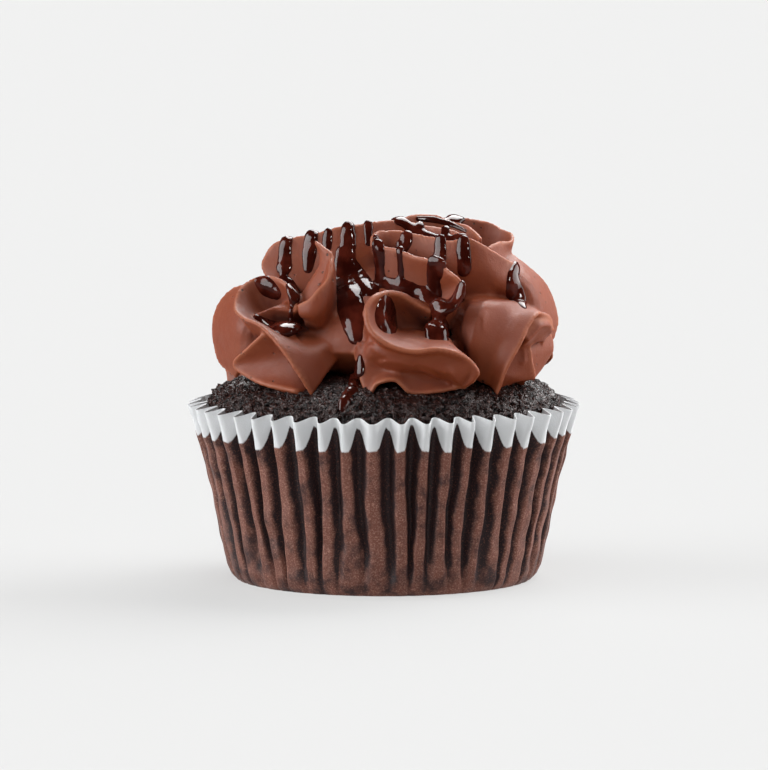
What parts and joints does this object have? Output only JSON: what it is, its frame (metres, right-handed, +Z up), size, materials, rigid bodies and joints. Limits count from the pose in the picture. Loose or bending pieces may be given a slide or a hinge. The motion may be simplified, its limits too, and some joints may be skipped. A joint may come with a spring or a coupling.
{
  "type": "cupcake",
  "caption": "Chocolate cupcake in a pleated paper baking case, topped with tall folds of piped chocolate frosting.",
  "frame": {"origin": "middle of the paper case's foot, on the surface it stands on", "axes": "+Z up out of the cake, -Y towards the front of the frosting, +X to the right seen from the front"},
  "size_m": [0.0704, 0.0704, 0.0653],
  "materials": {
    "paper": "thin greaseproof paper, white at the free rim and stained brown by the cake below",
    "cake": "nearly black, matte chocolate crumb with fine glints",
    "frosting": "smooth milk chocolate frosting with a soft satin sheen",
    "sauce": "very dark, wet, glossy chocolate sauce"
  },
  "bodies": {
    "root": {"paper_case": "paper", "cake": "cake", "frosting": "frosting"}
  },
  "joints": []
}
